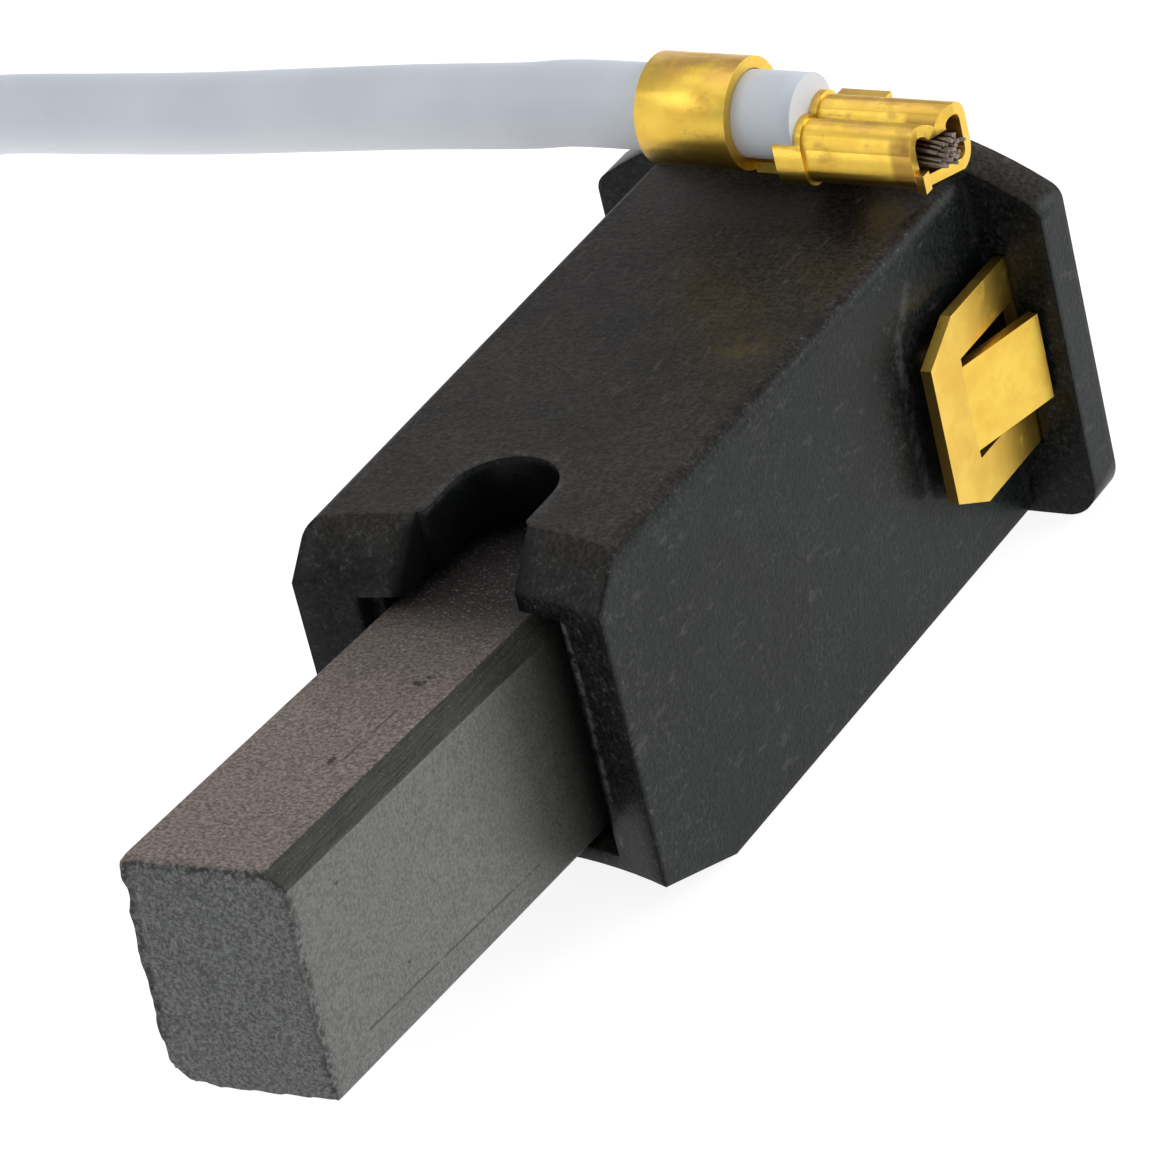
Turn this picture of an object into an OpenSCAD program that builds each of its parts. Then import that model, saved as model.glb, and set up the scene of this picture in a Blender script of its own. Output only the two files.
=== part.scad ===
// Carbon brush in a moulded holder, with a sprung contact strap and a crimped lead.
// Millimetres. +Y runs from the carbon's contact face to the rear flange, +X is the side
// of the strap leg that faces out, and +Z is up. The origin lies on the surface that the
// brush rests on, below the middle of its length.

/* [Carbon] */
// Width of the carbon, across X
carbon_w = 6.4; // [5.4:0.1:7.4]
// Height of the carbon
carbon_h = 8.95; // [7.5:0.05:10.5]
// Length of the carbon
carbon_len = 25.6; // [22:0.2:30]
// How far the carbon stands out of the holder
carbon_out = 15.5; // [12:0.5:18]
// Width of the chamfer on the upper long edge
chamfer_w = 0.85; // [0.4:0.05:1.4]
// Height of the chamfer on the upper long edge
chamfer_h = 0.65; // [0.4:0.05:1.4]
// Radius of the rounded lower long edge
round_r = 1.4; // [0.6:0.1:2]
// Radius of the slightly crowned contact face
face_r = 40; // [25:1:80]
// Slant of the contact face in plan, degrees
face_slant = 5.5; // [0:0.5:8]
// Upward lean of the carbon in its loose tunnel, degrees
lean_up = 2.6; // [0:0.1:2.6]
// Sideways lean of the carbon in its loose tunnel, degrees
lean_side = 1; // [0:0.1:1.5]

/* [Holder] */
// Width of the holder at its mouth
holder_w = 12.7; // [11.8:0.1:14]
// Height of the holder above the tunnel's middle
holder_top = 7.35; // [6.8:0.05:8]
// Depth of the holder below the tunnel's middle
holder_low = 7.15; // [6.8:0.05:7.8]
// Length of the holder from its mouth to the flange
holder_len = 28; // [25:0.1:32]
// Draft of each side wall, degrees
side_draft = 0.5; // [0:0.1:1]
// Radius of the long upper edges of the holder
edge_r = 0.55; // [0.2:0.05:0.9]
// Play between the carbon and each side wall
side_play = 0.45; // [0.4:0.05:0.6]
// Play above and below the carbon
top_play = 0.45; // [0.4:0.05:0.6]
// Radius of the hollow that the mouth follows in plan
mouth_r = 18.4; // [15:0.2:24]
// Size of the bevel on the mouth's upper edge
mouth_bevel = 1.65; // [1:0.05:2]
// Height of the long bevel on the mouth's lower edge
toe_rise = 1.65; // [0.8:0.05:2]
// Length of the long bevel on the mouth's lower edge
toe_run = 4.3; // [2:0.1:6]
// Width of the open slot in the top wall
slot_w = 4.2; // [3:0.1:4.6]
// Length of the open slot in the top wall
slot_len = 6.9; // [5:0.1:10]
// Radius of the corners at the slot's mouth
slot_flare = 0.25; // [0.1:0.05:0.6]
// Width of the shallow step beside the carbon at the mouth
step_w = 0.55; // [0.3:0.05:0.8]
// Depth of the shallow step beside the carbon at the mouth
step_depth = 0.6; // [0.3:0.05:1.2]

/* [Flange] */
// Width of the rear flange
flange_w = 19.2; // [17.5:0.1:21]
// Thickness of the rear flange
flange_t = 1.85; // [1.2:0.05:2.6]
// Radius of the flange's arched top
flange_r = 17; // [14:0.1:20]
// Height of the flange's arched top above the tunnel's middle
flange_top = 9; // [8.6:0.05:10]
// Depth of the flange's foot below the tunnel's middle
flange_low = 7.25; // [7.2:0.05:8.4]
// Radius of the flange's lower corners
foot_r = 1.4; // [0.6:0.1:2.4]
// Radius of the flange's upper corners
corner_r = 0.8; // [0.4:0.1:1.2]

/* [Contact strap] */
// Thickness of the brass sheet
sheet = 0.45; // [0.3:0.05:0.6]
// Gap between a strap leg and the flange slot round it
slot_gap = 0.1; // [0.05:0.05:0.2]
// Height of the strap legs
leg_h = 8; // [7:0.1:9]
// Distance between the outer faces of the two legs
leg_span = 15.4; // [15:0.1:16.4]
// Length of the legs in front of the flange
leg_len = 6.5; // [5.5:0.1:8]
// Length of the lead-in on the legs' front corners
lead_in = 2.1; // [1:0.1:2.5]
// Height of the lead-in on the legs' front corners
lead_in_h = 1.15; // [0.6:0.05:1.6]
// Height of the latch tongue cut from each leg
latch_h = 3.6; // [3:0.1:4.4]
// Length of the latch tongue cut from each leg
latch_len = 4.2; // [3:0.1:5]
// Outward slant of the latch tongue, degrees
latch_slant = 15; // [8:1:20]
// Width of the slits beside the latch tongue
slit_w = 0.35; // [0.25:0.05:0.5]
// Height of the plate that closes the tunnel's rear
plate_h = 10.8; // [10.4:0.1:11.6]
// Width of the tongue that climbs over the flange
tongue_w = 2.1; // [1.6:0.1:3]
// Left edge of the tongue that climbs over the flange
tongue_x = 0.8; // [0:0.1:1.6]

/* [Crimp] */
// Distance from the flange's front face to the lead's axis
crimp_back = 2.6; // [2.4:0.1:3.2]
// Width of the conductor crimp
crimp_w = 3; // [2.6:0.05:3.2]
// Height of the conductor crimp
crimp_h = 2.7; // [2.4:0.05:2.9]
// Left end of the conductor crimp
crimp_x = 1.5; // [1.2:0.05:2.2]
// Length of the conductor crimp along its front side
crimp_len = 5.7; // [4:0.1:6]
// Length of the flared lip on the conductor crimp
lip_len = 1.2; // [0.8:0.1:1.4]
// Right end of the insulation barrel
barrel_x = -0.1; // [-0.6:0.05:0.2]
// Length of the insulation barrel
barrel_len = 3.85; // [2.5:0.05:4.5]
// Diameter of one strand of the conductor
strand_d = 0.34; // [0.3:0.01:0.4]
// Length of bare strand past the crimp's front side
strand_out = 1.0; // [0.4:0.1:1.4]

/* [Spring] */
// Outer diameter of the brush spring
spring_d = 5.2; // [4:0.1:6]
// Diameter of the spring wire
spring_wire = 0.55; // [0.4:0.05:0.7]
// Working turns of the spring
spring_turns = 8; // [6:1:10]
// Gap between the spring and what it pushes on
spring_gap = 0.15; // [0.1:0.05:0.3]
// Diameter of the shunt braid
braid_d = 1.6; // [1.2:0.1:2]
// Depth of the hole in the carbon that holds the braid
braid_hole = 3; // [2:0.1:5]

/* [Lead] */
// Outer diameter of the lead
lead_d = 3.3; // [3:0.05:3.4]
// Diameter of the coil at the middle of its turns
coil_d = 35; // [33:0.5:36]
// Width of the blade that the end terminal takes
blade_w = 4.8; // [4:0.1:5.4]
// Length of the end terminal
terminal_len = 15; // [13:0.1:16]

/* [Hidden] */

eps = 0.01;
past = 1;

// Places along Y are counted from the outer edges of the holder's mouth.
flange_front = holder_len;
flange_back = holder_len + flange_t;
total_back = flange_back + sheet;
face_half = carbon_w / 2 * sin(face_slant);
face_crown = 0.6;
total_front = carbon_out + face_crown + face_half;
mouth_y = (total_front - total_back) / 2;
axis_z = flange_low;

// Tunnel and how the carbon lies in it.
tunnel_w = carbon_w + 2 * side_play;
tunnel_h = carbon_h + 2 * top_play;
carbon_in = carbon_len - carbon_out;
floor_gap = 0.05;
carbon_z = floor_gap + carbon_h / 2 - tunnel_h / 2 + carbon_in * sin(lean_up);

// The mouth's hollow is turned about an upright axis in front of the holder.
hollow_y = -sqrt(pow(mouth_r, 2) - pow(holder_w / 2, 2));
holder_w_back = holder_w + 2 * holder_len * tan(side_draft);

// Contact strap.
leg_out = leg_span / 2;
leg_in = leg_out - sheet;
leg_front = flange_front - leg_len;
latch_gap = 0.15;
latch_root = flange_front - latch_len - latch_gap;
arch_z = flange_top - flange_r;
tongue_z = max(arch_z + sqrt(pow(flange_r, 2) - pow(tongue_x, 2)), holder_top) + 0.02;
boss_r = 1.6;
boss_h = 0.7;

// Crimp and lead, in the frame of the tunnel's axis.
crimp_y = flange_front - crimp_back;
barrel_r = lead_d / 2 + 0.03 + sheet;
crimp_z = tongue_z - 0.2;
lead_z = crimp_z + barrel_r + 0.07;
lobe_r = 0.8;
lobe_dip = 0.24;
skew = 28;
strands_z = crimp_z + crimp_h / 2 - 0.2;
lead_end = crimp_x + 0.9;

// Route of the lead in the part's own frame, from its cut end to the coil.
lead_start = [lead_end, mouth_y + crimp_y, axis_z + lead_z];
lead_down = [-66.5, 25];
lead_route = [lead_start, [-4, 0, 0] + lead_start, [-7.5, 0, 0] + lead_start,
    [-8, 18.6, 18.1], [-10.4, 18.75, 17.75], [-15.8, 19.5, 16.95], [-21.6, 20.5, 15.9],
    [-27.8, 21.7, 14.7], [-34.2, 23.1, 13.5], [-41, 24.5, 12.25], [-45, 25.1, 11],
    [-48.6, 25.4, 9], [-51.6, 25.5, 6.6], [-54.8, 25.5, 4.3], [-58.6, 25.3, 2.6],
    [-62.8, 25.1, 1.8], [lead_down[0], lead_down[1], lead_d / 2]];
lay_gap = 0.05;
coil_at = lead_down - [0, coil_d / 2 + 1.5 * lead_d + lay_gap];
tail_turn = 8;
tail_leaves = 150;
tail_at = coil_at + (coil_d / 2 - lead_d / 2 - tail_turn) * [cos(tail_leaves), sin(tail_leaves)];
tail_route = [for (a = [226 : 11 : 270])
    [tail_at[0] + tail_turn * cos(a), tail_at[1] + tail_turn * sin(a), lead_d / 2],
    [tail_at[0] + 2, tail_at[1] - tail_turn, lead_d / 2]];

function unit(v) = v / norm(v);

// One ring of a swept tube, square to the way that the route runs there.
function ring(p, way, ref, r, sides) =
    let (across = unit(cross(way, ref)), up = cross(across, way))
    [for (k = [0 : sides - 1]) p + r * (cos(360 * k / sides) * across + sin(360 * k / sides) * up)];

function way_at(route, i) =
    unit(route[min(i + 1, len(route) - 1)] - route[max(i - 1, 0)]);

module tube(route, d, sides, ref = [0, 0, 1]) {
    count = len(route);
    points = [for (i = [0 : count - 1]) each ring(route[i], way_at(route, i), ref, d / 2, sides)];
    walls = [for (i = [0 : count - 2], k = [0 : sides - 1])
        let (a = i * sides + k, b = i * sides + (k + 1) % sides)
        each [[a, b, b + sides], [a, b + sides, a + sides]]];
    ends = [[for (k = [sides - 1 : -1 : 0]) k],
        [for (k = [0 : sides - 1]) (count - 1) * sides + k]];
    polyhedron(points, concat(walls, ends));
}

// Puts a piece that is drawn round the tunnel's axis into the part's frame.
module at_mouth() {
    translate([0, mouth_y, axis_z]) children();
}

// Extrudes an X-Z outline from y0 to y1.
module along_y(y0, y1) {
    translate([0, y1, 0]) rotate([90, 0, 0]) linear_extrude(y1 - y0) children();
}

// Extrudes a Y-Z outline from x0 to x1.
module along_x(x0, x1) {
    translate([x0, 0, 0]) rotate([90, 0, 90]) linear_extrude(x1 - x0) children();
}

module block(low, high) {
    translate(low) cube(high - low);
}

// ---- Holder ----

module holder_body() {
    intersection() {
        along_x(-flange_w, flange_w)
            polygon([[0, -holder_low], [flange_front + eps, -holder_low],
                [flange_front + eps, holder_top], [0, holder_top]]);
        translate([0, 0, -flange_w]) linear_extrude(2 * flange_w)
            polygon([[-holder_w / 2, 0], [holder_w / 2, 0],
                [holder_w_back / 2, flange_front + eps], [-holder_w_back / 2, flange_front + eps]]);
    }
}

// What the rounding takes off one long upper edge, along the drafted side wall.
module edge_waste() {
    translate([holder_w / 2, 0, holder_top]) rotate([0, 0, -side_draft]) difference() {
        block([-edge_r, -past, -edge_r], [past, holder_len + past, past]);
        translate([-edge_r, -2 * past, -edge_r]) rotate([-90, 0, 0])
            cylinder(h = holder_len + 4 * past, r = edge_r, $fn = 64);
    }
}

// The hollow mouth with its upper and lower bevels, as one turned cut.
module mouth_cut() {
    translate([0, hollow_y, 0]) rotate_extrude($fn = 180)
        polygon([[0, -holder_low - past],
            [mouth_r + toe_run * (1 + past / toe_rise), -holder_low - past],
            [mouth_r, -holder_low + toe_rise], [mouth_r, holder_top - mouth_bevel],
            [mouth_r + mouth_bevel + past, holder_top + past], [0, holder_top + past]]);
}

module top_slot() {
    mid = slot_len - slot_w / 2;
    mouth_depth = hollow_y + mouth_r + mouth_bevel + slot_flare;
    translate([0, 0, tunnel_h / 2 - eps]) linear_extrude(holder_top) {
        translate([0, mid]) circle(d = slot_w, $fn = 48);
        translate([-slot_w / 2, -past]) square([slot_w, mid + past]);
        difference() {
            translate([-slot_w / 2 - slot_flare, -past])
                square([slot_w + 2 * slot_flare, mouth_depth + past]);
            for (side = [-1, 1])
                translate([side * (slot_w / 2 + slot_flare), mouth_depth])
                    circle(r = slot_flare, $fn = 48);
        }
    }
}

module flange_outline() {
    half = flange_w / 2;
    round_x = half - corner_r;
    round_z = arch_z + sqrt(pow(flange_r - corner_r, 2) - pow(round_x, 2));
    fan = round_x / (round_z - arch_z);
    intersection() {
        translate([0, arch_z]) circle(r = flange_r, $fn = 240);
        union() {
            translate([-half, foot_r - flange_low]) square([2 * half, round_z + flange_low - foot_r]);
            translate([foot_r - half, -flange_low]) square([2 * (half - foot_r), 2 * foot_r]);
            polygon([[fan * arch_z, 0], [-fan * arch_z, 0],
                [fan * flange_r, flange_top], [-fan * flange_r, flange_top]]);
            for (side = [-1, 1]) {
                translate([side * (half - foot_r), foot_r - flange_low])
                    circle(r = foot_r, $fn = 64);
                translate([side * round_x, round_z]) circle(r = corner_r, $fn = 48);
            }
        }
    }
}

module flange() {
    difference() {
        along_y(flange_front, flange_back) flange_outline();
        for (side = [-1, 1])
            block([side > 0 ? leg_in - slot_gap : -leg_out - slot_gap, flange_front - past,
                -leg_h / 2 - slot_gap],
                [side > 0 ? leg_out + slot_gap : slot_gap - leg_in, flange_back + past,
                leg_h / 2 + slot_gap]);
    }
}

module holder() {
    step_back = hollow_y + sqrt(pow(mouth_r, 2) - pow(tunnel_w / 2, 2)) + step_depth;
    color([0.14, 0.14, 0.15]) at_mouth() difference() {
        union() {
            difference() {
                holder_body();
                mouth_cut();
                edge_waste();
                mirror([1, 0, 0]) edge_waste();
            }
            flange();
        }
        block([-tunnel_w / 2, -past, -tunnel_h / 2],
            [tunnel_w / 2, flange_back + past, tunnel_h / 2]);
        block([-tunnel_w / 2 - step_w, -past, -tunnel_h / 2],
            [tunnel_w / 2 + step_w, step_back, tunnel_h / 2]);
        top_slot();
    }
}

// ---- Carbon ----

module carbon_outline() {
    w = carbon_w / 2;
    h = carbon_h / 2;
    polygon([[w, -h], [w, h - chamfer_h], [w - chamfer_w, h], [-w, h],
        for (a = [180 : 15 : 270]) [-w + round_r, -h + round_r] + round_r * [cos(a), sin(a)]]);
}

// The crowned, slanted face that rides on the commutator.
module face_form() {
    translate([0, face_r - carbon_out - face_crown, 0]) rotate([0, 90, face_slant])
        cylinder(h = 4 * carbon_w, r = face_r, center = true, $fn = 180);
}

module carbon_block() {
    color([0.36, 0.34, 0.34]) at_mouth() translate([0, 0, carbon_z])
        rotate([-lean_up, 0, -lean_side]) difference() {
            intersection() {
                along_y(-carbon_out - 2 * past, carbon_in) carbon_outline();
                face_form();
            }
            translate([0, carbon_in + eps, 0]) rotate([90, 0, 0])
                cylinder(h = braid_hole, d = braid_d + 0.2, $fn = 32);
        }
}

// ---- Spring and braid ----

module brush_spring() {
    y0 = carbon_in + spring_gap + spring_wire / 2;
    y1 = flange_back - spring_wire / 2 - eps;
    r = (spring_d - spring_wire) / 2;
    flat = 1;
    turns = spring_turns + 2 * flat;
    steps = 16;
    pitch = (y1 - y0 - 2 * flat * spring_wire * 1.05) / spring_turns;
    route = [for (i = [0 : turns * steps])
        let (t = i / steps, lead = min(t, flat), work = min(max(t - flat, 0), spring_turns),
            tail = max(t - flat - spring_turns, 0))
        [r * cos(360 * t), y0 + (lead + tail) * spring_wire * 1.05 + work * pitch, r * sin(360 * t)]];
    color([0.7, 0.7, 0.72]) at_mouth() tube(route, spring_wire, 6, [0, 1, 0]);
}

module shunt_braid() {
    y0 = carbon_in - braid_hole + 0.2;
    y1 = flange_back - boss_h - 0.05;
    held = carbon_in + 1;
    sway = 0.35;
    count = 16;
    route = [for (i = [0 : count])
        let (y = y0 + i / count * (y1 - y0), free = max(0, y - held) / (y1 - held),
            in = min(y, held))
        [in * sin(lean_side) * (1 - free) + sway * sin(360 * free) * sin(180 * free), y,
            (carbon_z - in * sin(lean_up)) * (1 - free) + sway * pow(sin(180 * free), 2)]];
    color([0.75, 0.42, 0.28]) at_mouth() tube(route, braid_d, 8);
}

// ---- Contact strap with its crimps ----

module strap_leg() {
    latch_end = latch_root + latch_len + latch_gap / 2;
    window = latch_h / 2 + slit_w;
    difference() {
        rotate([90, 0, 90]) linear_extrude(sheet)
            difference() {
                polygon([[total_back, -leg_h / 2], [total_back, leg_h / 2],
                    [leg_front + lead_in, leg_h / 2], [leg_front, leg_h / 2 - lead_in_h],
                    [leg_front, lead_in_h - leg_h / 2], [leg_front + lead_in, -leg_h / 2]]);
                translate([latch_root, -window]) square([latch_end - latch_root, 2 * window]);
            }
    }
    translate([0, latch_root, 0]) rotate([0, 0, -latch_slant])
        block([0, -sheet / 2, -latch_h / 2], [sheet, latch_len / cos(latch_slant), latch_h / 2]);
}

module crimp_outline(grow = 0) {
    r = lobe_r + grow;
    y = crimp_w / 2 - lobe_r;
    low = crimp_z + lobe_r;
    top = crimp_z + crimp_h - lobe_r;
    for (side = [-1, 1]) {
        translate([side * y, low]) circle(r = r, $fn = 32);
        translate([side * y, side < 0 ? top - lobe_dip : top]) circle(r = r, $fn = 32);
    }
    translate([-y, low - r]) square([2 * y, r]);
    polygon([[-y - r, low], [y + r, low], [y + r, top], [-y - r, top - lobe_dip]]);
}

module conductor_crimp() {
    x1 = crimp_x + crimp_len;
    intersection() {
        translate([0, crimp_y, 0]) difference() {
            union() {
                along_x(crimp_x + lip_len - eps, x1 + crimp_w) crimp_outline();
                along_x(crimp_x, crimp_x + lip_len) crimp_outline(0.15);
            }
            along_x(crimp_x - past, x1 + crimp_w + past) crimp_outline(-sheet);
        }
        translate([0, crimp_y - crimp_w / 2, crimp_z - past]) linear_extrude(crimp_h + 2 * past)
            polygon([[crimp_x - past, -past], [x1, -past], [x1, crimp_w * 0.25],
                [x1 + crimp_w * 0.5 * tan(skew), crimp_w * 0.75],
                [x1 + crimp_w * 0.5 * tan(skew), crimp_w + past], [crimp_x - past, crimp_w + past]]);
    }
}

module insulation_barrel() {
    seam = 0.2;
    translate([barrel_x, crimp_y, lead_z]) rotate([0, -90, 0]) difference() {
        cylinder(h = barrel_len, r = barrel_r, $fn = 64);
        translate([0, 0, -past]) cylinder(h = barrel_len + 2 * past, r = barrel_r - sheet, $fn = 64);
        rotate([0, 0, 100]) block([0, -seam / 2, -past], [2 * barrel_r, seam / 2, barrel_len + past]);
    }
}

module contact_strap() {
    floor_w = 1.1;
    color([0.85, 0.68, 0.25]) at_mouth() {
        translate([leg_in, 0, 0]) strap_leg();
        mirror([1, 0, 0]) translate([leg_in, 0, 0]) strap_leg();
        block([-leg_out, flange_back, -plate_h / 2], [leg_out, total_back, plate_h / 2]);
        translate([0, flange_back + eps, 0]) rotate([90, 0, 0])
            cylinder(h = boss_h, r = boss_r, $fn = 32);
        block([tongue_x, flange_back, plate_h / 2 - eps],
            [tongue_x + tongue_w, total_back, tongue_z + sheet]);
        block([tongue_x, flange_front - 0.5, tongue_z],
            [tongue_x + tongue_w, total_back, tongue_z + sheet]);
        block([tongue_x, crimp_y + crimp_w / 2 - 0.3, crimp_z],
            [tongue_x + tongue_w, flange_front - 0.05, tongue_z + sheet]);
        block([barrel_x - eps, crimp_y - floor_w / 2, crimp_z],
            [crimp_x + eps, crimp_y + floor_w / 2, crimp_z + sheet]);
        conductor_crimp();
        insulation_barrel();
        block([crimp_x + crimp_len - eps, crimp_y - crimp_w / 2 + 0.05, crimp_z + 0.1],
            [crimp_x + crimp_len + 0.35, crimp_y - crimp_w / 2 + 0.5, crimp_z + 0.85]);
    }
}

module conductor_strands() {
    color([0.55, 0.53, 0.5]) at_mouth()
        for (row = [0 : 2], k = [0 : 3])
            translate([lead_end, crimp_y + (k - 1.5) * strand_d * 1.15,
                strands_z + (row - 1) * strand_d * 1.15])
                rotate([0, 90, 0])
                    cylinder(h = crimp_x + crimp_len - lead_end
                        + strand_out * (0.7 + 0.3 * ((k + row) % 3)), d = strand_d, $fn = 16);
}

// ---- Lead ----

module lead_wire() {
    color([0.85, 0.85, 0.88]) tube(lead_route, lead_d, 8);
}

// Outer shape of one turn and a bit of lead, lying flat as two rounds side by side.
module lead_coil() {
    r = lead_d / 2;
    color([0.85, 0.85, 0.88]) translate([coil_at[0], coil_at[1], r])
        rotate_extrude($fn = 96) translate([coil_d / 2, 0]) {
            for (side = [-1, 1]) translate([side * r, 0]) circle(r = r, $fn = 24);
            square([2 * r, 2 * r], center = true);
        }
}

module lead_tail() {
    color([0.85, 0.85, 0.88]) tube(tail_route, lead_d, 8);
}

// Push-on blade terminal: rolled sides over a flat floor, with crimps on the lead.
module end_terminal() {
    w = blade_w + 1.2;
    t = 0.35;
    roll = 1.1;
    box_len = 7;
    neck = 2;
    sleeve_r = lead_d / 2 + 0.05;
    sleeve_len = 2.6;
    tail_end = tail_route[len(tail_route) - 1];
    color([0.85, 0.68, 0.25]) translate([tail_end[0], tail_end[1], 0]) {
        translate([terminal_len - box_len, 0, 0]) {
            block([0, -w / 2, 0], [box_len, w / 2, t]);
            for (side = [-1, 1])
                translate([0, side * (w / 2 - roll), roll]) rotate([0, 90, 0]) difference() {
                    cylinder(h = box_len, r = roll, $fn = 32);
                    translate([0, 0, -past]) cylinder(h = box_len + 2 * past, r = roll - t, $fn = 32);
                    block([-past - roll, side > 0 ? -roll - past : 0, -past],
                        [roll + past, side > 0 ? 0 : roll + past, box_len + past]);
                }
        }
        block([0, -neck / 2, 0], [terminal_len - box_len + eps, neck / 2, t]);
        translate([0.4, 0, sleeve_r]) rotate([0, 90, 0]) difference() {
            cylinder(h = sleeve_len, r = sleeve_r, $fn = 48);
            translate([0, 0, -past]) cylinder(h = sleeve_len + 2 * past, r = sleeve_r - t, $fn = 48);
        }
    }
}

holder();
carbon_block();
brush_spring();
shunt_braid();
contact_strap();
conductor_strands();
lead_wire();
lead_coil();
lead_tail();
end_terminal();
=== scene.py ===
"""Looks of a carbon brush: black moulded holder, worn carbon, brass contact strap and a pale lead.

This script adds the camera, the lead as one smooth cord, the chipped carbon, the fine strands, the
spring and braid, and every material. Lengths are in metres unless a name ends in _mm.
"""

import math
import random

import bmesh
import bpy
from mathutils import Matrix, Quaternion, Vector, noise


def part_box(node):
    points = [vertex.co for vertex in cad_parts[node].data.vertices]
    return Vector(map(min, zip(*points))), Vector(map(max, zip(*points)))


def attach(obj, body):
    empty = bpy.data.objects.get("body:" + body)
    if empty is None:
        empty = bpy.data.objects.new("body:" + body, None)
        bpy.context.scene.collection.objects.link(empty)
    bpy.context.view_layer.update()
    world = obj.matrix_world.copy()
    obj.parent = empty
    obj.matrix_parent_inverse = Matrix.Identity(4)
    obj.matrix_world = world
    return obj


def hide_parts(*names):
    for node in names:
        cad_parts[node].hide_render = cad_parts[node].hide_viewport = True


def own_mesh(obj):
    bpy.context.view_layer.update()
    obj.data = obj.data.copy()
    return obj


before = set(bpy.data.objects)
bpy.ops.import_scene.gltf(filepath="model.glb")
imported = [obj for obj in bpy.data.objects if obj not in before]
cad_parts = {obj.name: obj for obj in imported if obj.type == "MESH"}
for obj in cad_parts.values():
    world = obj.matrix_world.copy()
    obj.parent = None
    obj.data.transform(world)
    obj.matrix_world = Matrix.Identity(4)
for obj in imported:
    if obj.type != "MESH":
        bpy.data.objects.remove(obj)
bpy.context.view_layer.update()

MM = 0.001


def mm(*values):
    """A point given in millimetres, as a vector in metres."""
    return Vector(values) * MM


# ---- Camera ----

EYE = mm(117.44, -155.63, 120.90)
AIM = mm(0.16, 0.79, 8.93)
ROLL = math.radians(-14.08)
LENS_MM = 195.67


def make_camera():
    data = bpy.data.cameras.new("camera")
    data.lens = LENS_MM
    data.sensor_width = 36
    data.clip_start = 0.01
    data.clip_end = 10
    camera = bpy.data.objects.new("camera", data)
    bpy.context.collection.objects.link(camera)
    camera.location = EYE
    camera.rotation_mode = "QUATERNION"
    straight = (AIM - EYE).to_track_quat("-Z", "Y")
    camera.rotation_quaternion = straight @ Quaternion((0, 0, 1), ROLL)
    bpy.context.scene.camera = camera


make_camera()
bpy.context.scene.view_settings.view_transform = "Standard"

# ---- Curves and tubes ----


def smooth_path(points, steps):
    """Points on a Catmull-Rom curve through the given ones."""
    ends = [2 * points[0] - points[1], *points, 2 * points[-1] - points[-2]]
    path = []
    for a, b, c, d in zip(ends, ends[1:], ends[2:], ends[3:]):
        for i in range(steps):
            t = i / steps
            path.append(
                0.5
                * (
                    2 * b
                    + t * (c - a)
                    + t * t * (2 * a - 5 * b + 4 * c - d)
                    + t**3 * (3 * b - a - 3 * c + d)
                )
            )
    return [*path, points[-1]]


def full_turn(sides):
    """The angles of a ring's corners."""
    return [2 * math.pi * k / sides for k in range(sides)]


def join_rings(mesh, low, high, smooth):
    """Closes the band between two rings of corners."""
    for k in range(len(low)):
        after = (k + 1) % len(low)
        mesh.faces.new((low[k], low[after], high[after], high[k])).smooth = smooth


def add_tube(mesh, path, radius, sides):
    """Sweeps a round section along the path, twisting as little as it can, and closes the ends."""
    rings = []
    way = (path[1] - path[0]).normalized()
    across = way.orthogonal().normalized()
    for i, point in enumerate(path):
        new_way = (path[min(i + 1, len(path) - 1)] - path[max(i - 1, 0)]).normalized()
        across = way.rotation_difference(new_way) @ across
        across = (across - across.dot(new_way) * new_way).normalized()
        way = new_way
        up = way.cross(across)
        rings.append(
            [
                mesh.verts.new(point + radius * (math.cos(a) * across + math.sin(a) * up))
                for a in full_turn(sides)
            ]
        )
    for low, high in zip(rings, rings[1:]):
        join_rings(mesh, low, high, True)
    mesh.faces.new(list(reversed(rings[0])))
    mesh.faces.new(rings[-1])


def add_object(name, mesh, body="root"):
    """Turns a bmesh in the row frame into an object that rides on a CAD body."""
    data = bpy.data.meshes.new(name)
    mesh.to_mesh(data)
    mesh.free()
    made = bpy.data.objects.new(name, data)
    bpy.context.collection.objects.link(made)
    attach(made, body)
    return made


# ---- Lead ----

LEAD_RADIUS = 1.65 * MM
CUT_END = mm(2.4, 18.453, 18.25)
LEAD_ROUTE = [
    CUT_END,
    CUT_END + mm(-4, 0, 0),
    CUT_END + mm(-7.5, 0, 0),
    mm(-8, 18.6, 18.1),
    mm(-10.4, 18.75, 17.75),
    mm(-15.8, 19.5, 16.95),
    mm(-21.6, 20.5, 15.9),
    mm(-27.8, 21.7, 14.7),
    mm(-34.2, 23.1, 13.5),
    mm(-41, 24.5, 12.25),
    mm(-45, 25.1, 11),
    mm(-48.6, 25.4, 9),
    mm(-51.6, 25.5, 6.6),
    mm(-54.8, 25.5, 4.3),
    mm(-58.6, 25.3, 2.6),
    mm(-62.8, 25.1, 1.8),
    mm(-66.5, 25, 1.65),
]
COIL_RADIUS = 17.5 * MM
COIL_AT = mm(-66.5, 2.5, 1.65)
TAIL_TURN = 8 * MM
LEAVES_AT = math.radians(150)
TAIL_SHIFT = COIL_RADIUS - LEAD_RADIUS - TAIL_TURN
TAIL_AT = COIL_AT + TAIL_SHIFT * Vector((math.cos(LEAVES_AT), math.sin(LEAVES_AT), 0))


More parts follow.
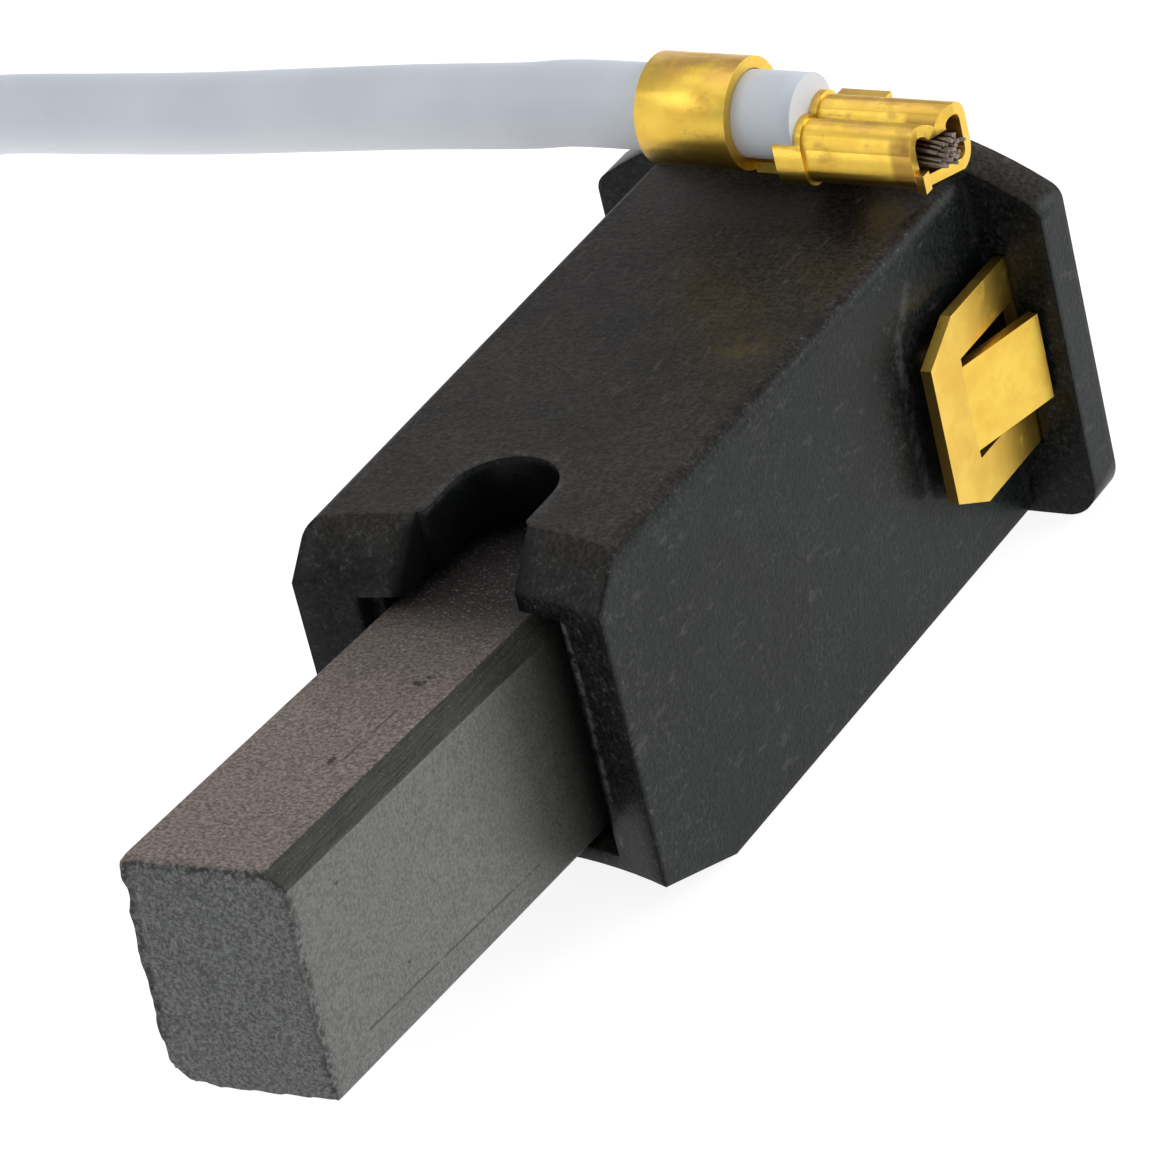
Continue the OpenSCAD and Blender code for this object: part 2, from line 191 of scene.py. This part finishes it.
def spiral_path():
    """The turn and a bit on the floor: the outer lane first, then the inner one."""
    outer = COIL_RADIUS + LEAD_RADIUS
    path = []
    for degrees in range(96, 511, 6):
        settle = min(1, (degrees - 90) / 60)
        inward = max(0, (degrees - 450) / 60)
        ease = (1 - math.cos(math.pi * settle)) / 2
        sink = (1 - math.cos(math.pi * inward)) / 2
        radius = outer + 0.00001 + 2 * LEAD_RADIUS * (1 - ease - sink) + 0.00005 * (1 - ease)
        angle = math.radians(degrees)
        path.append(COIL_AT + radius * Vector((math.cos(angle), math.sin(angle), 0)))
    return path


def tail_path():
    """The inner lane leaves its turn and runs into the end terminal."""
    path = []
    for degrees in range(156, 271, 6):
        angle = math.radians(degrees)
        path.append(TAIL_AT + TAIL_TURN * Vector((math.cos(angle), math.sin(angle), 0)))
    return [*path, TAIL_AT + Vector((2 * MM, -TAIL_TURN, 0))]


def make_lead():
    path = smooth_path(LEAD_ROUTE, 6) + spiral_path() + tail_path()
    mesh = bmesh.new()
    add_tube(mesh, path, LEAD_RADIUS, 32)
    lead = add_object("lead", mesh)
    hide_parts("lead_wire", "lead_coil", "lead_tail")
    return lead


lead = make_lead()

# ---- Shaders ----


class Value:
    """A shader socket that takes Python arithmetic. Each operation adds a Math node."""

    def __init__(self, shader, socket):
        self.shader = shader
        self.socket = socket

    def _math(self, operation, *others):
        values = dict(enumerate((self, *others)))
        return self.shader.add("ShaderNodeMath", {"operation": operation}, values)[0]

    def __add__(self, other):
        return self._math("ADD", other)

    def __sub__(self, other):
        return self._math("SUBTRACT", other)

    def __mul__(self, other):
        return self._math("MULTIPLY", other)

    def __pow__(self, other):
        return self._math("POWER", other)

    def __rsub__(self, other):
        return self._math("MULTIPLY_ADD", -1, other)

    def __neg__(self):
        return self * -1

    def __abs__(self):
        return self._math("ABSOLUTE")

    __radd__ = __add__
    __rmul__ = __mul__

    def least(self, other):
        return self._math("MINIMUM", other)

    def most(self, other):
        return self._math("MAXIMUM", other)

    def rise(self, low, high):
        """0 below low, 1 above high, smooth between. low may be above high."""
        return self.shader.add(
            "ShaderNodeMapRange",
            {"interpolation_type": "SMOOTHSTEP"},
            {"Value": self, "From Min": low, "From Max": high},
        )[0]


class Nodes:
    """A node tree being built."""

    def __init__(self, owner):
        owner.use_nodes = True
        self.tree = owner.node_tree
        self.tree.nodes.clear()

    def add(self, kind, settings=None, values=None):
        """Adds a node, sets its settings, then its inputs, and returns its outputs as Values."""
        node = self.tree.nodes.new(kind)
        for key, value in (settings or {}).items():
            setattr(node, key, value)
        for key, value in (values or {}).items():
            socket = node.inputs[key]
            if isinstance(value, Value):
                self.tree.links.new(value.socket, socket)
            else:
                socket.default_value = value
        return [Value(self, socket) for socket in node.outputs]

    def looked_at(self):
        """1 where the camera looks, or where metal and glass mirror or show what is behind."""
        rays = self.add("ShaderNodeLightPath")
        camera, glossy, transmission = rays[0], rays[3], rays[6]
        return camera.most(glossy).most(transmission)


class Shader(Nodes):
    """A material being built. Places are in millimetres in the row frame."""

    def __init__(self, name):
        self.material = bpy.data.materials.new(name)
        super().__init__(self.material)
        place = self.add("ShaderNodeTexCoord")[3]
        self.place = self.add(
            "ShaderNodeVectorMath", {"operation": "SCALE"}, {0: place, "Scale": 1 / MM}
        )[0]
        self.x, self.y, self.z = self.add("ShaderNodeSeparateXYZ", {}, {0: self.place})
        facing = self.add("ShaderNodeNewGeometry")[1]
        self.to_x, self.to_y, self.to_z = self.add("ShaderNodeSeparateXYZ", {}, {0: facing})

    def noise(self, per_mm, detail=2.0, roughness=0.5, stretch=(1, 1, 1), offset=0.0):
        """Noise with that many blobs per millimetre. stretch lengthens them along an axis."""
        place = self.add(
            "ShaderNodeVectorMath",
            {"operation": "MULTIPLY_ADD"},
            {0: self.place, 1: tuple(1 / s for s in stretch), 2: (offset, offset, offset)},
        )[0]
        return self.add(
            "ShaderNodeTexNoise",
            {},
            {"Vector": place, "Scale": per_mm, "Detail": detail, "Roughness": roughness},
        )[0]

    def mix(self, share, first, second):
        """Colour that goes from first to second as share goes from 0 to 1."""
        return self.add(
            "ShaderNodeMix",
            {"data_type": "RGBA"},
            {0: share, 6: first, 7: second},
        )[2]

    def gap_to(self, point):
        """Distance in millimetres from a point, which may itself be a Value."""
        return self.add(
            "ShaderNodeVectorMath", {"operation": "DISTANCE"}, {0: self.place, 1: point}
        )[1]

    def gap_to_line(self, start, end):
        """Distance in millimetres from the straight piece between two points."""
        start, end = Vector(start), Vector(end)
        span = end - start
        way = span / span.length_squared
        share = self.add(
            "ShaderNodeVectorMath", {"operation": "DOT_PRODUCT"}, {0: self.place, 1: tuple(way)}
        )[1]
        share = self.add(
            "ShaderNodeMath",
            {"operation": "SUBTRACT", "use_clamp": True},
            {0: share, 1: start.dot(way)},
        )[0]
        nearest = self.add(
            "ShaderNodeVectorMath",
            {"operation": "MULTIPLY_ADD"},
            {0: share, 1: tuple(span), 2: tuple(start)},
        )[0]
        return self.gap_to(nearest)

    def along(self, points, reach_mm):
        """1 on a line through the points, falling to 0 at the given distance from it."""
        gap = self.gap_to_line(points[0], points[1])
        for start, end in zip(points[1:], points[2:]):
            gap = gap.least(self.gap_to_line(start, end))
        return gap.rise(reach_mm, 0.1 * reach_mm)

    def bump(self, height, depth_mm, strength=1.0, under=None):
        values = {"Height": height, "Distance": depth_mm * MM, "Strength": strength}
        if under is not None:
            values["Normal"] = under
        return self.add("ShaderNodeBump", {}, values)[0]

    def soft_edges(self, radius_mm):
        """Normals that look as if every edge had this radius."""
        return self.add("ShaderNodeBevel", {"samples": 3}, {"Radius": radius_mm * MM})[0]

    def surface(self, **inputs):
        """Ends the material in one Principled surface."""
        values = {key.replace("_", " "): value for key, value in inputs.items()}
        out = self.add("ShaderNodeBsdfPrincipled", {}, values)[0]
        self.add("ShaderNodeOutputMaterial", {}, {"Surface": out})
        return self.material


def spot_mask(shader, per_mm, threshold, offset):
    """Scattered spots, 1 inside each."""
    return shader.noise(per_mm, 3, 0.6, offset=offset).rise(threshold, threshold + 0.06)


# ---- Materials ----

# Marks that the object carries, in millimetres in the row frame.
HOLDER_TOP = 14.6
FLANGE_OVERHANG = 3.1
SMEAR_AT = (4.2, 8.2, 14.6)
LATCH_HALO = [(6.55, 15.6, 12.4), (6.54, 14.5, 11.2), (6.54, 14.3, 7.2), (6.54, 14.5, 4.7)]
CHEEK_LINE = [(4.3, -6.3, 12), (4.5, -6.4, 9), (4.45, -6.4, 3)]
SLOT_MIDDLE = [(0, -2.15, 14.6), (0, -8, 14.6)]
SLOT_RADIUS = 2.1
LOBE_MIDDLE = 16.65
LOBE_RADIUS = 1.3
CARBON_PITS = [
    ((0.9, -10.5, 11.95), 0.24),
    ((0.95, -10.0, 11.95), 0.13),
    ((0.5, -15.7, 12.2), 0.2),
    ((2.97, -20.0, 10.45), 0.15),
    ((3.0, -17.5, 5.55), 0.12),
]
CARBON_RIM = [
    (-3.25, -23.45, 5.5),
    (-3.25, -23.0, 12.5),
    (2.15, -22.55, 12.35),
    (2.95, -22.5, 11.8),
    (2.87, -22.95, 3.6),
]
CARBON_SCRATCHES = [
    ((2.97, -20.4, 4.75), (3.16, -9.5, 4.0)),
    ((0.92, -15.8, 12.19), (1.05, -12.2, 12.04)),
]


def moulding_material():
    """Black moulding: matt and grained, dusty on top with a painted sheen there, painted
    reflection on its sides, painted shade inside the slot, rubbed along its edges.
    """
    s = Shader("black_moulding")
    top = s.to_z.rise(0.6, 0.9)
    side = abs(s.to_x).rise(0.6, 0.9)
    cloud = s.noise(0.16, 2, 0.55)
    fine = s.noise(6, 2, 0.65)
    patchy = s.noise(0.35, 2, 0.55, offset=7)
    ragged = s.noise(1.5, 3, 0.7, offset=9)
    base = s.mix(fine.rise(0.35, 0.65), (0.003, 0.0035, 0.0035, 1), (0.011, 0.012, 0.0115, 1))
    # Dust with painted sheen: up-facing faces are browner and lighter.
    brown = s.mix(fine.rise(0.3, 0.7), (0.013, 0.01, 0.008, 1), (0.045, 0.037, 0.031, 1))
    base = s.mix(top * (0.35 + 0.5 * cloud.rise(0.3, 0.65)), base, brown)
    # Painted reflection: side faces are lighter and blue-grey.
    blue = s.mix(fine.rise(0.3, 0.7), (0.006, 0.009, 0.009, 1), (0.02, 0.025, 0.025, 1))
    base = s.mix(side * (0.2 + 0.4 * cloud.rise(0.35, 0.65)), base, blue)
    dusty = patchy.rise(0.42, 0.62)
    specks = s.noise(5, 2, 0.75, offset=3)
    dust = specks.rise(0.5, 0.78)
    flecks = specks.rise(0.78, 0.83)
    rubs = s.noise(2.2, 2, 0.7, (0.6, 3, 1.2), 5).rise(0.6, 0.72) * patchy.rise(0.65, 0.5)
    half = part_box("holder")[1].x / MM - FLANGE_OVERHANG
    near_side = abs(abs(s.x) - half).rise(1.5, 0.1)
    near_top = abs(s.z - HOLDER_TOP).rise(1.3, 0.1)
    mouth = s.y.rise(-3, -5.6)
    edge = (near_side * near_top).most(mouth * 0.8)
    edge = edge * ragged.rise(0.4, 0.7)
    broken = ragged.rise(0.37, 0.6)
    halo = s.along(LATCH_HALO, 0.45) * broken
    rim = abs(s.gap_to_line(*SLOT_MIDDLE) - SLOT_RADIUS).rise(0.7, 0.07) * top * broken
    seam = s.along(CHEEK_LINE, 0.22) * broken
    worn = dust * (dusty * 0.1 + edge * 0.28 + rim * 0.35 + 0.02) + rim * 0.06 + edge * 0.03
    worn = worn + flecks * 0.12 + rubs * 0.1 + halo * 0.13 + seam * 0.3
    # Painted shade: near black inside the slot, with its dust held back there.
    slot = abs(s.x).rise(2.9, 2.4) * s.z.rise(HOLDER_TOP - 0.1, HOLDER_TOP - 0.4)
    worn = worn.least(1) * (1 - slot * 0.9)
    base = s.mix(worn, base, (0.25, 0.25, 0.235, 1))
    base = s.mix(slot * 0.8, base, (0.003, 0.003, 0.003, 1))
    smear = s.gap_to(SMEAR_AT).rise(1.6, 0.3) * broken
    base = s.mix(smear * 0.3, base, (0.1, 0.075, 0.02, 1))
    rough = fine * 0.16 + cloud * 0.08 + worn * 0.5 + 0.24
    relief = s.bump(ragged * 0.018 + fine * 0.015, 1.0, 1.0, s.soft_edges(0.35))
    return s.surface(Base_Color=base, Roughness=rough, Normal=relief, Specular_IOR_Level=0.12)


def carbon_material():
    """Pressed carbon: grained brown-grey top, smoother sides, a dull cut chamfer, open pores, and
    painted shade towards the holder's mouth.
    """
    s = Shader("carbon")
    grain = s.noise(7, 2, 0.75)
    mottle = s.noise(1.4, 2, 0.6)
    ragged = s.noise(4, 2, 0.7, offset=6)
    top = s.to_z.rise(0.8, 0.95)
    front = (-s.to_y).rise(0.5, 0.8)
    chamfer = s.to_z.rise(0.35, 0.5) * s.to_x.rise(0.35, 0.5)
    base = s.mix(grain.rise(0.3, 0.7), (0.07, 0.071, 0.065, 1), (0.15, 0.151, 0.142, 1))
    base = s.mix(mottle.rise(0.4, 0.7) * 0.3, base, (0.16, 0.16, 0.15, 1))
    crust = s.mix(grain.rise(0.32, 0.68), (0.075, 0.058, 0.051, 1), (0.255, 0.2, 0.178, 1))
    base = s.mix(top, base, crust)
    face = s.mix(grain.rise(0.35, 0.65), (0.055, 0.059, 0.056, 1), (0.152, 0.157, 0.152, 1))
    base = s.mix(front, base, face)
    streaks = s.noise(5, 2, 0.7, (0.4, 9, 0.4))
    cut = s.mix(streaks.rise(0.3, 0.7), (0.012, 0.012, 0.009, 1), (0.035, 0.034, 0.027, 1))
    # Painted shade: darker towards the holder's mouth, and near black where the slot shades it.
    base = s.mix(s.y.rise(-14, -7) * 0.45, base, (0.05, 0.047, 0.042, 1))
    slot_end_shadow = s.y.rise(-8.2, -5)
    base = s.mix(slot_end_shadow * 0.88, base, (0.011, 0.01, 0.009, 1))
    base = s.mix(chamfer * (1 - slot_end_shadow * 0.6), base, cut)
    specks = s.noise(8, 2, 0.75, offset=5)
    light_specks = specks.rise(0.57, 0.7)
    dark_specks = specks.rise(0.43, 0.3)
    base = s.mix(light_specks * (front * 0.15 + top * 0.25 + 0.1), base, (0.4, 0.4, 0.38, 1))
    base = s.mix(dark_specks * (front * 0.35 + top * 0.35 + 0.25), base, (0.025, 0.024, 0.022, 1))
    pits = spot_mask(s, 1.0, 0.74, 4)
    for point, radius in CARBON_PITS:
        pits = pits + (s.gap_to(point) + 0.6 * ragged - 0.3).rise(radius, 0.7 * radius) * 1.2
    marks = pits + s.along(CARBON_RIM, 0.34) * ragged.rise(0.4, 0.58)
    for scratch in CARBON_SCRATCHES:
        marks = marks + s.along(scratch, 0.08) * mottle.rise(0.36, 0.5)
    base = s.mix(marks.least(1) * 0.88, base, (0.013, 0.013, 0.011, 1))
    coarse = grain * (front * 0.8 + top + 0.4)
    relief = s.bump(coarse - streaks * chamfer * 0.5, 0.06, 1.0)
    rough = 0.34 + 0.14 * mottle + 0.25 * front + 0.1 * top + 0.15 * chamfer
    return s.surface(Base_Color=base, Roughness=rough, Normal=relief, Specular_IOR_Level=0.35)


def brass_material():
    """Rolled brass: bright and fairly smooth, with faint tarnish and drawing lines, painted shade
    on its undersides and, partly, on its up-facing tops.
    """
    s = Shader("brass_sheet")
    cloud = s.noise(0.6, 3, 0.6)
    fine = s.noise(10, 1, 0.6)
    base = s.mix(cloud.rise(0.35, 0.65), (0.88, 0.6, 0.1, 1), (0.8, 0.51, 0.078, 1))
    side = abs(s.to_x).rise(0.5, 0.9)
    stain = s.noise(1.3, 3, 0.65, (1.6, 1, 1), 6).rise(0.52, 0.72)
    base = s.mix(stain * (0.4 - 0.3 * side), base, (0.42, 0.24, 0.08, 1))
    # Painted shade: darker on down-facing parts.
    under = (-s.to_z).rise(-0.1, 0.7)
    base = s.mix(under * 0.6, base, (0.3, 0.2, 0.06, 1))
    # Brown patches on up-facing tops: partly tarnish, partly painted shade.
    crown_tarnish_and_shade = s.to_z.rise(0.75, 0.98) * s.noise(0.9, 3, 0.6, offset=3).rise(0.35, 0.6)
    base = s.mix(crown_tarnish_and_shade * 0.6, base, (0.58, 0.32, 0.11, 1))
    rim = (-s.to_y).rise(0.5, 0.9) * abs(s.x).rise(6.2, 6.5)
    base = s.mix(rim * 0.7, base, (0.3, 0.15, 0.04, 1))
    rough = 0.31 + 0.12 * cloud + 0.12 * stain
    wall = (-s.to_y).rise(0.6, 0.95) * s.x.rise(1.0, 1.3)
    bulge = (s.z - LOBE_MIDDLE) ** 2 * (-0.5 / LOBE_RADIUS)
    relief = s.bump(bulge * wall, 1.0)
    relief = s.bump(fine + cloud * 2, 0.012, 0.4, relief)
    return s.surface(Base_Color=base, Metallic=1.0, Roughness=rough, Normal=relief)


def plain_metal(name, color, roughness):
    s = Shader(name)
    cloud = s.noise(1.5, 3, 0.6)
    dark = tuple(0.55 * c for c in color[:3]) + (1,)
    base = s.mix(cloud.rise(0.4, 0.7), color, dark)
    return s.surface(
        Base_Color=base,
        Metallic=1.0,
        Roughness=roughness + 0.15 * cloud,
        Normal=s.bump(s.noise(12), 0.008, 0.3),
    )


def insulation_material():
    """Soft pale sleeve with a slight grey-blue cast, a few smudges and painted bounce light on its
    underside.
    """
    s = Shader("pale_insulation")
    cloud = s.noise(0.2, 3, 0.5)
    base = s.mix(cloud.rise(0.3, 0.7), (0.59, 0.63, 0.69, 1), (0.64, 0.68, 0.735, 1))
    # Painted bounce light: lighter on down-facing parts.
    base = s.mix((-s.to_z).rise(-0.6, 0.9) * 0.5, base, (0.86, 0.88, 0.92, 1))
    smudge = spot_mask(s, 0.7, 0.72, 8)
    base = s.mix(smudge * 0.3, base, (0.35, 0.35, 0.37, 1))
    relief = s.bump(s.noise(3, 3), 0.01, 0.2)
    return s.surface(Base_Color=base, Roughness=0.5 + 0.1 * cloud, Normal=relief)


MOULDING = moulding_material()
CARBON = carbon_material()
BRASS = brass_material()
STEEL = plain_metal("spring_steel", (0.6, 0.6, 0.62, 1), 0.25)
COPPER = plain_metal("copper_braid", (0.75, 0.38, 0.22, 1), 0.35)
TINNED = plain_metal("tinned_strand", (0.26, 0.21, 0.17, 1), 0.4)
INSULATION = insulation_material()


def paint(obj, material):
    obj.data.materials.clear()
    obj.data.materials.append(material)
    return obj


def soften(node, width_mm, material):
    """Gives a CAD node its material and small rounded edges."""
    obj = paint(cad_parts[node], material)
    weld = obj.modifiers.new("weld", "WELD")
    weld.merge_threshold = 0.001 * MM
    bevel = obj.modifiers.new("edges", "BEVEL")
    bevel.width = width_mm * MM
    bevel.segments = 2
    bevel.limit_method = "ANGLE"
    bevel.angle_limit = math.radians(35)
    bevel.use_clamp_overlap = True
    bevel.harden_normals = True
    return obj


paint(lead, INSULATION)
soften("holder", 0.12, MOULDING)
soften("contact_strap", 0.06, BRASS)
soften("end_terminal", 0.04, BRASS)

# ---- Carbon with chipped edges ----

CARBON_LEAN = math.radians(-2.6)
CARBON_TURN = math.radians(-1)
CARBON_GRID = 0.11
# Place, radius and depth of each chip, in millimetres in the row frame.
CARBON_CHIPS = [
    ((-3.35, -23.2, 11.2), 0.7, 0.15),
    ((-3.3, -22.9, 12.7), 0.5, 0.13),
    ((-3.3, -23.3, 9.9), 1.3, 0.1),
    ((-3.25, -23.4, 7.4), 1.6, 0.07),
    ((-3.15, -23.5, 5.2), 0.7, 0.08),
    ((-2.2, -23.5, 3.6), 0.8, 0.1),
    ((-0.4, -23.5, 3.1), 0.9, 0.07),
    ((1.5, -23.4, 3.1), 0.7, 0.06),
    ((-1.6, -23.1, 12.6), 0.6, 0.1),
    ((0.2, -23.0, 12.6), 0.6, 0.08),
    ((1.6, -22.9, 12.4), 0.5, 0.14),
    ((2.9, -23.0, 9.0), 0.6, 0.06),
    ((3.0, -23.1, 5.2), 0.7, 0.07),
]


def make_carbon():
    """A fine copy of the solid, worn inwards along its edges and chipped round its face."""
    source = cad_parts["carbon_block"]
    made = bpy.data.objects.new("carbon", source.data.copy())
    bpy.context.collection.objects.link(made)
    lean = Matrix.Rotation(CARBON_TURN, 4, "Z") @ Matrix.Rotation(CARBON_LEAN, 4, "X")
    made.data.transform(lean.inverted() @ Matrix.Scale(1 / MM, 4))
    fine = made.modifiers.new("fine", "REMESH")
    fine.mode = "VOXEL"
    fine.voxel_size = CARBON_GRID
    fine.use_smooth_shade = True
    bpy.context.view_layer.update()
    shown = made.evaluated_get(bpy.context.evaluated_depsgraph_get())
    data = bpy.data.meshes.new_from_object(shown)
    made.modifiers.clear()
    made.data = data
    data.name = "carbon"
    data.transform(lean)
    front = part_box("carbon_block")[0].y / MM
    normals = [vertex.normal.copy() for vertex in data.vertices]
    for vertex, normal in zip(data.vertices, normals):
        p = vertex.co
        near = max(0.0, 1 - (p.y - front) / 1.6)
        chip = noise.noise(p * 1.3) + 0.6 * noise.noise(p * 3.1)
        worn = 0.015 + 0.07 * near * max(0.0, chip)
        for place, radius, depth in CARBON_CHIPS:
            gap = (p - Vector(place)).length / radius
            if gap < 1:
                worn += depth * (1 - gap * gap) ** 2
        vertex.co = (p - normal * worn) * MM
    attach(made, "carbon")
    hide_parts("carbon_block")
    return paint(made, CARBON)


make_carbon()

# ---- Conductor strands ----

STRAND_RADIUS = 0.075 * MM
STRAND_COUNT = 40
GOLDEN_TURN = 2.4


def make_strands():
    """Fine twisted strands from the lead's cut end through the crimp to their trimmed ends."""
    chance = random.Random(4)
    low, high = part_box("conductor_strands")
    middle = (low + high) / 2
    mesh = bmesh.new()
    for k in range(STRAND_COUNT):
        radius = math.sqrt((k + 0.5) / STRAND_COUNT)
        angle = GOLDEN_TURN * k
        tip = high.x - 0.1 * MM - chance.random() * 0.5 * MM
        path = []
        for i in range(13):
            t = i / 12
            spread = math.sin(min(1, t * 3) * math.pi / 2)
            turn = angle + 1.2 * t
            y = radius * math.cos(turn) * (0.55 + 0.3 * spread) * MM
            z = radius * math.sin(turn) * 0.55 * MM
            lift = (CUT_END.z - 0.3 * MM - middle.z) * max(0, 1 - 5 * t)
            x = CUT_END.x - 0.1 * MM + t * (tip - CUT_END.x)
            path.append(Vector((x, middle.y + y, middle.z + z + lift)))
        add_tube(mesh, path, STRAND_RADIUS, 6)
    strands = paint(add_object("strands", mesh), TINNED)
    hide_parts("conductor_strands")


make_strands()

# ---- Spring and braid behind the carbon ----

SPRING_TURNS = 10
SPRING_WIRE = 0.55 * MM
SPRING_STEPS = 28


def make_spring():
    low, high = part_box("brush_spring")
    wire = SPRING_WIRE / 2
    radius = (high.x - low.x) / 2 - wire
    middle = (low + high) / 2
    steps = SPRING_STEPS * SPRING_TURNS
    flat = 1.05 * SPRING_WIRE
    reach = high.y - low.y - 2 * wire - 2 * flat
    path = []
    for i in range(steps + 1):
        t = SPRING_TURNS * i / steps
        lead_in = min(t, 1)
        work = min(max(t - 1, 0), SPRING_TURNS - 2) / (SPRING_TURNS - 2)
        out = max(t - SPRING_TURNS + 1, 0)
        y = low.y + wire + (lead_in + out) * flat + work * reach
        angle = 2 * math.pi * t
        x, z = middle.x + radius * math.cos(angle), middle.z + radius * math.sin(angle)
        path.append(Vector((x, y, z)))
    mesh = bmesh.new()
    add_tube(mesh, path, wire, 12)
    spring = paint(add_object("spring", mesh), STEEL)
    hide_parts("brush_spring")
    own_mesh(spring)


def make_braid():
    low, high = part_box("shunt_braid")
    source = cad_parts["shunt_braid"]
    made = bpy.data.objects.new("braid", source.data.copy())
    bpy.context.collection.objects.link(made)
    made.data.polygons.foreach_set("use_smooth", [True] * len(made.data.polygons))
    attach(made, "root")
    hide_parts("shunt_braid")
    paint(made, COPPER)
    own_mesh(made)


make_spring()
make_braid()

# ---- Room and light ----


STAGE_RADIUS = 3
STAGE_SIDES = 64
WALL_HEIGHT = 1
ROOM_LIGHT = {"Color": (0.97, 0.98, 1, 1), "Strength": 0.5}


def stage_ring(mesh, height):
    return [
        mesh.verts.new((STAGE_RADIUS * math.cos(a), STAGE_RADIUS * math.sin(a), height))
        for a in full_turn(STAGE_SIDES)
    ]


def add_stage(name, mesh, material):
    data = bpy.data.meshes.new(name)
    mesh.to_mesh(data)
    mesh.free()
    made = bpy.data.objects.new(name, data)
    bpy.context.collection.objects.link(made)
    paint(made, material)


# What the camera, mirrors and glass see comes second in each material, after what gives light.


def add_floor():
    """A round pale floor. It looks white and keeps a faint shadow."""
    mesh = bmesh.new()
    mesh.faces.new(stage_ring(mesh, 0))
    s = Shader("floor")
    bounce = s.add("ShaderNodeBsdfDiffuse", {}, {"Color": (0.85, 0.85, 0.85, 1)})[0]
    spill = s.add("ShaderNodeEmission", {}, {"Color": (1, 1, 1, 1), "Strength": 0.3})[0]
    plain = s.add("ShaderNodeAddShader", {}, {0: bounce, 1: spill})[0]
    bright = s.add("ShaderNodeBsdfDiffuse", {}, {"Color": (0.3, 0.3, 0.3, 1)})[0]
    glow = s.add("ShaderNodeEmission", {}, {"Color": (1, 1, 1, 1), "Strength": 0.88})[0]
    lit = s.add("ShaderNodeAddShader", {}, {0: bright, 1: glow})[0]
    out = s.add("ShaderNodeMixShader", {}, {0: s.looked_at(), 1: plain, 2: lit})[0]
    s.add("ShaderNodeOutputMaterial", {}, {"Surface": out})
    add_stage("floor", mesh, s.material)


def add_backdrop():
    """A low round wall at the floor's rim. It looks white and lights the part as the room does."""
    mesh = bmesh.new()
    join_rings(mesh, stage_ring(mesh, 0), stage_ring(mesh, WALL_HEIGHT), False)
    s = Shader("backdrop")
    room = s.add("ShaderNodeEmission", {}, ROOM_LIGHT)[0]
    white = s.add("ShaderNodeEmission", {}, {"Color": (1, 1, 1, 1), "Strength": 1.0})[0]
    out = s.add("ShaderNodeMixShader", {}, {0: s.looked_at(), 1: room, 2: white})[0]
    s.add("ShaderNodeOutputMaterial", {}, {"Surface": out})
    add_stage("backdrop", mesh, s.material)


def add_area(name, direction, distance, size, power):
    data = bpy.data.lights.new(name, "AREA")
    data.size = size
    data.energy = power
    light = bpy.data.objects.new(name, data)
    bpy.context.collection.objects.link(light)
    aim = mm(0, 2, 8)
    light.location = aim + Vector(direction).normalized() * distance
    light.rotation_mode = "QUATERNION"
    light.rotation_quaternion = (aim - light.location).to_track_quat("-Z", "Y")
    return light


def light_world():
    world = bpy.data.worlds.new("studio")
    bpy.context.scene.world = world
    s = Nodes(world)
    out = s.add("ShaderNodeBackground", {}, ROOM_LIGHT)[0]
    s.add("ShaderNodeOutputWorld", {}, {"Surface": out})


add_floor()
add_backdrop()
light_world()
add_area("right_back", (0.75, 0.65, 0.3), 0.5, 0.3, 1.45)
add_area("overhead", (-0.2, 0.15, 1), 0.6, 0.5, 0.75)
add_area("left_front", (-0.6, -0.6, 0.75), 0.6, 0.3, 0.52)
